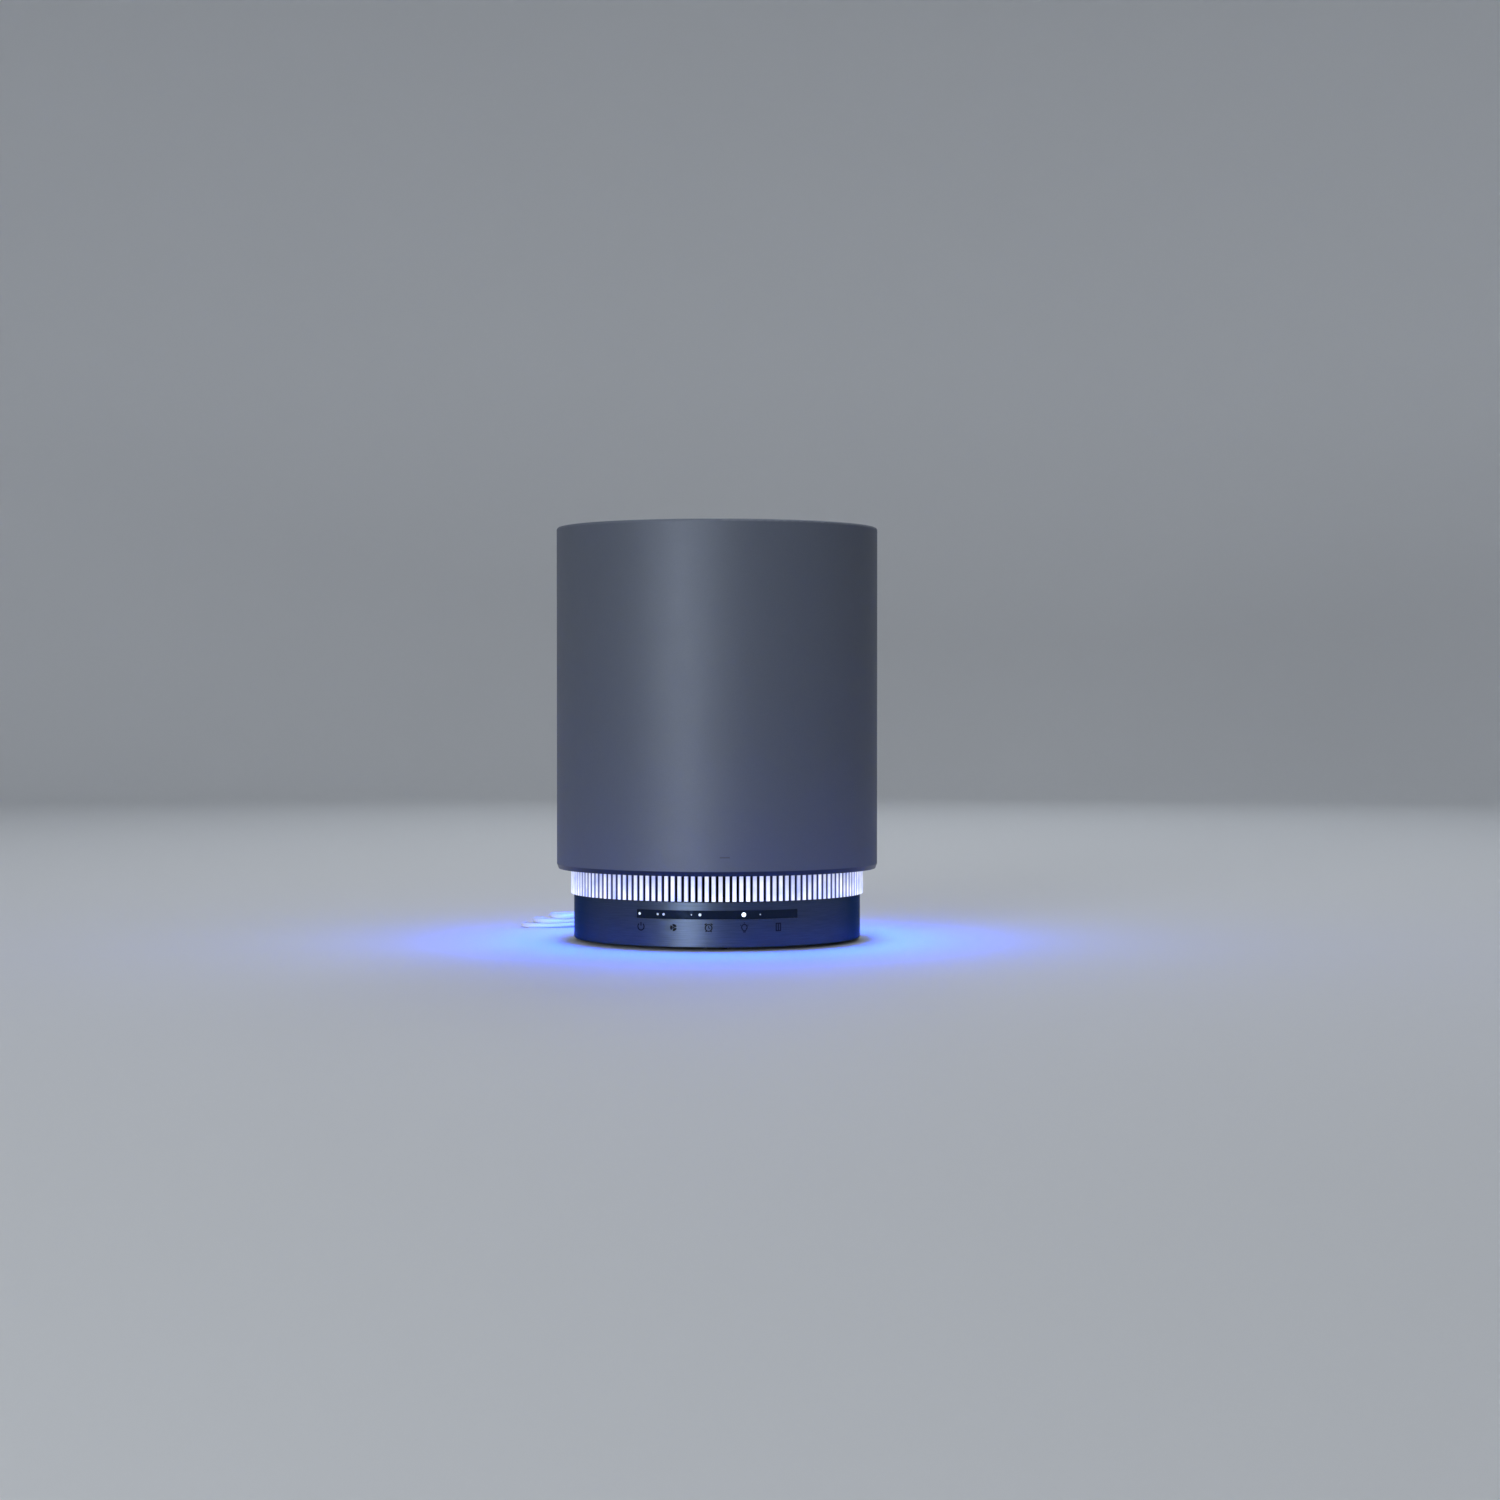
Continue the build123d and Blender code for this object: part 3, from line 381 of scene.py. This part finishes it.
looks = {
    cover_material(): ["cover_shell"],
    moulded("grille_plastic", (0.13, 0.14, 0.16), 0.42): ["top_grille"],
    moulded("grille_cap_paint", (0.20, 0.215, 0.245), 0.3, coat=0.3): ["grille_cap"],
    base_material(): ["base_shell"],
    window_material(): ["display_window"],
    indicator_material(): ["indicator_lenses"],
    fin_material(): ["light_ring"],
    rubber: ["rubber_feet", "filter_gasket", "cover_seal"],
    black_plastic: [
        "base_plate",
        "air_deflector",
        "fan_deck",
        "fan_housing",
        "inlet_plate",
        "motor_mount",
        "dc_jack",
        "cable_tie",
    ],
    board: ["touch_board", "control_board", "led_board"],
    moulded("board_parts", (0.022, 0.022, 0.026), 0.35): ["control_board_parts"],
    moulded("led_package", (0.80, 0.74, 0.38), 0.3): ["ring_leds"],
    copper: ["touch_pads", "stator_coils"],
    steel: [
        "base_plate_screws",
        "control_board_screws",
        "hoop_screws",
        "deck_screws",
        "inlet_plate_screws",
        "motor_screws",
        "grille_screws",
        "motor_shaft",
        "shaft_clip",
        "impeller_nut",
        "handle_pins",
        "motor_bearings",
    ],
    laminated_material(): ["stator_core"],
    metal("rotor_steel", (0.42, 0.43, 0.45), 0.32, stretch=(0.05, 0.05, 1.0)): ["rotor_cup"],
    moulded("magnet", (0.05, 0.05, 0.055), 0.5): ["rotor_magnets"],
    moulded("impeller_plastic", (0.60, 0.61, 0.63), 0.4): ["impeller"],
    white_plastic: ["filter_bottom_cap", "filter_top_cap"],
    moulded("core_plastic", (0.10, 0.105, 0.11), 0.5): ["filter_core"],
    moulded("pull_plastic", (0.03, 0.16, 0.50), 0.4): ["pull_handle"],
    media_material(): ["pleated_media"],
    net_material(): ["prefilter_sleeve"],
    white_pvc: ["dc_plug", "plug_relief", "adapter_relief"],
    adapter_plastic: ["adapter_case", "adapter_front"],
    nickel: ["dc_plug_barrel", "adapter_prongs"],
}
for material, names in looks.items():
    for name in names:
        for material_slot in nodes[name].material_slots:
            material_slot.material = material


# ================================================================ power lead
table_gap = 0.00005
# From the plug's strain relief down to the table, and round to the hank.
lead_route = [
    (0.0, 0.1458, 0.012),
    (0.0, 0.161, 0.012),
    (-0.003, 0.180, 0.0058),
    (-0.014, 0.196, 0.00185),
    (-0.033, 0.200, 0.00185),
    (-0.0475, 0.1895, 0.00185),
    (-0.0535, 0.1715, 0.00185),
    (-0.054, 0.153, 0.00185),
    (-0.062, 0.140, 0.00185),
    (-0.076, 0.134, 0.00185),
]
# From the hank, along the table and up to the adapter's strain relief.
tail_route = [
    (-0.068, 0.107, 0.0091),
    (-0.050, 0.1075, 0.0084),
    (-0.033, 0.112, 0.0044),
    (-0.015, 0.1175, 0.00185),
    (0.003, 0.1215, 0.00185),
    (0.020, 0.127, 0.00185),
    (0.034, 0.133, 0.0024),
    (0.043, 0.143, 0.0056),
    (0.046, 0.156, 0.009),
    (0.046, 0.170, 0.009),
]
hank_y = 0.121
tie_x = -0.105
# The hank's ends in each layer, from the lowest up, and the outer radius of its end bends.
hank_left = [-0.156, -0.147, -0.134]
hank_right = [-0.050, -0.0515, -0.0535]
end_r = 0.0164
# Each turn's layer, and its place in it: 0 is the outer strand and 1 the inner one.
hank_turns = [(0, 0), (0, 1), (1, 1), (1, 0), (2, 1), (2, 0)]
bend_steps = 6


def hank_points():
    """The turns of the hank: along the far side, round the left end, along the near side, round the right."""
    points = []
    bend = [math.radians(-75 + 30 * step) for step in range(bend_steps)]
    half_bend = bend_steps / 2
    for number, (layer, inner) in enumerate(hank_turns):
        radius = end_r - cable_d * (0.5 + inner)
        waist = cable_d * (1.5 - inner)
        left = hank_left[layer] + end_r
        right = hank_right[layer] - end_r
        low = cable_d * (layer + 0.5) + table_gap
        # The strands draw together, and rise a little, where the tie holds them.
        far_side = [
            (tie_x + 0.013, hank_y + waist + 0.0012, low + 0.0008),
            (tie_x - 0.002, hank_y + waist, low + 0.0014),
            ((tie_x + left) / 2, hank_y + (waist + radius) / 2, low + 0.0003),
        ]
        round_left = [(left - radius * math.cos(a), hank_y - radius * math.sin(a), low) for a in bend]
        near_side = [(x, 2 * hank_y - y, z) for x, y, z in reversed(far_side)]
        points += far_side + round_left + near_side
        if number == len(hank_turns) - 1:
            break
        next_layer, next_inner = hank_turns[number + 1]
        rise = cable_d * (next_layer - layer)
        inwards = cable_d * (next_inner - inner)
        # The lead climbs to the next layer in the first half of the bend, and changes strand in the second.
        for step, angle in enumerate(bend):
            climb = rise * min(1.0, (step + 1) / half_bend)
            strand_r = radius - inwards * max(0.0, (step + 1 - half_bend) / half_bend)
            x = right + strand_r * math.cos(angle)
            y = hank_y + strand_r * math.sin(angle)
            points.append((x, y, low + climb))
    return points


def power_cord():
    """The whole lead as one smooth curve, from the plug's strain relief to the adapter's."""
    curve = bpy.data.curves.new("power_cord", "CURVE")
    curve.dimensions = "3D"
    curve.bevel_depth = cable_d / 2
    curve.bevel_resolution = 5
    curve.resolution_u = 6
    route = lead_route + hank_points() + tail_route
    spline = curve.splines.new("NURBS")
    spline.points.add(len(route) - 1)
    for point, place in zip(spline.points, route, strict=True):
        point.co = (*place, 1.0)
    spline.order_u = 3
    spline.use_endpoint_u = True
    cord = bpy.data.objects.new("power_cord", curve)
    bpy.context.scene.collection.objects.link(cord)
    cord.data.materials.append(white_pvc)
    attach(cord, "base")
    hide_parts("power_lead", "power_tail", "cable_hank")


power_cord()


# ================================================================ printed symbols
# Heights are in metres up from the table, and azimuths in degrees.
symbol_height = 0.0166
symbol_pitch = 13.72
first_symbol = -30.7
mark_height = 0.0675
mark_azimuth = 2.6
print_lift = 0.00004
print_depth = 0.00006


def wrapped(azimuth, height, radius, u, v):
    """A point at u across and v up on a drum, from a spot at an azimuth and a height."""
    angle = math.radians(azimuth) + u / radius
    return (radius * math.sin(angle), -radius * math.cos(angle), height + v)


def arc(radius, start, end, steps=20, u=0.0, v=0.0):
    """Points on an arc, in degrees from straight up and clockwise."""
    turns = [math.radians(start + (end - start) * k / steps) for k in range(steps + 1)]
    return [(u + radius * math.sin(t), v + radius * math.cos(t)) for t in turns]


def ribbon(points, width):
    """The two sides of a stroke of even width along some points."""
    left, right = [], []
    for k, (u, v) in enumerate(points):
        before = Vector(points[max(k - 1, 0)])
        after = Vector(points[min(k + 1, len(points) - 1)])
        along = (after - before).normalized()
        across = Vector((-along.y, along.x)) * (width / 2)
        left.append((u + across.x, v + across.y))
        right.append((u - across.x, v - across.y))
    return left, right


def printed(name, strokes, azimuth, height, radius, material, body):
    """A thin print on a drum, made of strokes. Each stroke is its points and its width, in millimetres."""
    vertices, faces = [], []
    for points, width in strokes:
        left, right = ribbon([(u / 1000, v / 1000) for u, v in points], width / 1000)
        first = len(vertices)
        for pair in zip(left, right, strict=True):
            vertices += [wrapped(azimuth, height, radius + print_lift, u, v) for u, v in pair]
        for k in range(len(points) - 1):
            corner = first + 2 * k
            faces.append((corner, corner + 1, corner + 3, corner + 2))
    mesh = bpy.data.meshes.new(name)
    mesh.from_pydata(vertices, [], faces)
    mesh.materials.append(material)
    symbol = bpy.data.objects.new(name, mesh)
    bpy.context.scene.collection.objects.link(symbol)
    thicken = symbol.modifiers.new("thickness", "SOLIDIFY")
    thicken.thickness = print_depth
    thicken.offset = 1.0
    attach(symbol, body)


def power_symbol():
    """A broken ring with an upright stroke in its gap."""
    return [(arc(2.6, 40, 320, 30), 0.8), ([(0, 3.2), (0, 0.6)], 0.8)]


def fan_symbol():
    """Three swept blades round a hub."""
    strokes = [(arc(0.35, 0, 360, 12), 0.7)]
    for turn in (0, 120, 240):
        strokes.append((arc(1.7, turn - 20, turn + 75, 10), 1.7))
    return strokes


def timer_symbol():
    """An alarm clock with two hands, two bells and two feet."""
    return [
        (arc(2.4, 0, 360, 36), 0.8),
        ([(0, 1.5), (0, 0), (1.1, -0.5)], 0.6),
        (arc(3.4, -55, -25, 6), 0.8),
        (arc(3.4, 25, 55, 6), 0.8),
        ([(-1.6, -2.2), (-2.1, -3.0)], 0.8),
        ([(1.6, -2.2), (2.1, -3.0)], 0.8),
    ]


def lamp_symbol():
    """A bulb with its base and three short rays."""
    strokes = [
        (arc(2.0, -145, 145, 28, 0, 0.4), 0.75),
        ([(-1.1, -1.3), (-1.1, -2.1), (1.1, -2.1), (1.1, -1.3)], 0.7),
        ([(-0.9, -3.0), (0.9, -3.0)], 0.7),
    ]
    for turn in (-60, 0, 60):
        angle = math.radians(turn)
        ray = [(d * math.sin(angle), 0.4 + d * math.cos(angle)) for d in (2.7, 3.4)]
        strokes.append((ray, 0.65))
    return strokes


def filter_symbol():
    """A cartridge: two caps with upright folds between them."""
    strokes = [
        ([(-2.1, 2.6), (2.1, 2.6)], 0.8),
        ([(-2.1, -2.6), (2.1, -2.6)], 0.8),
    ]
    for u in (-1.7, 0.0, 1.7):
        strokes.append(([(u, 2.4), (u, -2.4)], 0.8))
    return strokes


def symbols():
    """The five printed keys on the base, and a small plain mark low on the cover."""
    ink = moulded("symbol_ink", (0.002, 0.0025, 0.004), 0.7, grain=3000.0, depth=0.000005)
    ink.node_tree.nodes["Principled BSDF"].inputs["Specular IOR Level"].default_value = 0.15
    keys = {
        "power": power_symbol(),
        "fan": fan_symbol(),
        "timer": timer_symbol(),
        "lamp": lamp_symbol(),
        "filter": filter_symbol(),
    }
    for number, (name, strokes) in enumerate(keys.items()):
        azimuth = first_symbol + symbol_pitch * number
        printed(f"symbol_{name}", strokes, azimuth, symbol_height, base_r, ink, "base")
    faint = moulded("mark_ink", (0.055, 0.06, 0.075), 0.4, grain=3000.0, depth=0.000005)
    mark = [([(-3.6, 0.0), (3.6, 0.0)], 1.1)]
    printed("cover_mark", mark, mark_azimuth, mark_height, cover_r, faint, "cover")


symbols()


# ================================================================ floor, light and camera
def backdrop():
    """A pale floor that curves up into a round wall, far outside the object."""
    flat_r, bend_r, wall_top = 3.2, 0.9, 3.4
    bend_rings, sides = 12, 96
    # The radius and height of each ring of points, from the middle out.
    rings = [(flat_r * 0.25, 0.0), (flat_r, 0.0)]
    for step in range(1, bend_rings + 1):
        angle = math.pi / 2 * step / bend_rings
        rings.append((flat_r + bend_r * math.sin(angle), bend_r * (1 - math.cos(angle))))
    rings.append((flat_r + bend_r, wall_top))

    vertices = [(0.0, 0.0, 0.0)]
    for radius, height in rings:
        for k in range(sides):
            turn = math.tau * k / sides
            vertices.append((radius * math.cos(turn), radius * math.sin(turn), height))
    faces = [(0, 1 + k, 1 + (k + 1) % sides) for k in range(sides)]
    for ring in range(len(rings) - 1):
        start = 1 + ring * sides
        for k in range(sides):
            after = (k + 1) % sides
            faces.append((start + k, start + sides + k, start + sides + after, start + after))
    mesh = bpy.data.meshes.new("floor")
    mesh.from_pydata(vertices, [], faces)
    mesh.shade_smooth()
    floor = bpy.data.objects.new("floor", mesh)
    bpy.context.scene.collection.objects.link(floor)
    material, _, shader, _ = blank("floor", (0.78, 0.79, 0.80), 0.85)
    shader.inputs["Specular IOR Level"].default_value = 0.1
    mesh.materials.append(material)


def area_light(name, place, target, size, power, color):
    """A soft rectangular lamp that points at a target."""
    light = bpy.data.lights.new(name, "AREA")
    light.shape = "RECTANGLE"
    light.size, light.size_y = size
    light.energy = power
    light.color = color
    lamp = bpy.data.objects.new(name, light)
    lamp.location = place
    lamp.rotation_euler = (Vector(target) - Vector(place)).to_track_quat("-Z", "Y").to_euler()
    bpy.context.scene.collection.objects.link(lamp)
    lamp.visible_camera = False


def lighting():
    """Soft studio light, and the blue light that the lit ring throws on the table and the cover's edge."""
    world = bpy.data.worlds.new("studio")
    world.use_nodes = True
    sky = world.node_tree.nodes["Background"]
    sky.inputs["Color"].default_value = (0.80, 0.87, 1.0, 1.0)
    sky.inputs["Strength"].default_value = 0.06
    bpy.context.scene.world = world
    middle = (0.0, 0.0, 0.15)
    area_light("key", (-1.35, -3.1, 0.50), middle, (1.1, 0.8), 42.0, (0.93, 0.97, 1.0))
    area_light("low", (-1.0, -2.5, 0.13), (0.0, 0.0, 0.05), (0.5, 0.2), 5.5, (0.90, 0.96, 1.0))
    area_light("fill", (2.2, -1.2, 1.0), middle, (1.2, 1.2), 1.2, (0.80, 0.86, 1.0))
    area_light("back", (0.4, 2.4, 2.1), middle, (1.4, 1.4), 14.0, (0.85, 0.92, 1.0))
    area_light("above", (0.0, 0.2, 2.6), (0.0, 0.4, 0.0), (2.4, 2.4), 26.0, (0.92, 0.95, 1.0))
    glow_count = 24
    glow_r, glow_height = ring_r + 0.001, 0.045
    for k in range(glow_count):
        turn = math.tau * k / glow_count
        outward = Vector((math.cos(turn), math.sin(turn), 0.0))
        place = outward * glow_r + Vector((0.0, 0.0, glow_height))
        area_light(f"glow_{k}", place, place + outward, (0.03, 0.012), 0.09, (0.0, 0.10, 1.0))


def camera():
    """Low in front, level with the middle of the cover, with the object a little left of centre."""
    data = bpy.data.cameras.new("camera")
    data.sensor_width = 36.0
    data.lens = 69.1
    eye = Vector((0.0, -2.161, 0.1766))
    target = Vector((0.0247, 0.0, 0.142))
    body = bpy.data.objects.new("camera", data)
    body.location = eye
    body.rotation_euler = (target - eye).to_track_quat("-Z", "Y").to_euler()
    bpy.context.scene.collection.objects.link(body)
    bpy.context.scene.camera = body


backdrop()
lighting()
camera()
# The plain view transform keeps the blue light as strong as it is.
bpy.context.scene.view_settings.view_transform = "Standard"
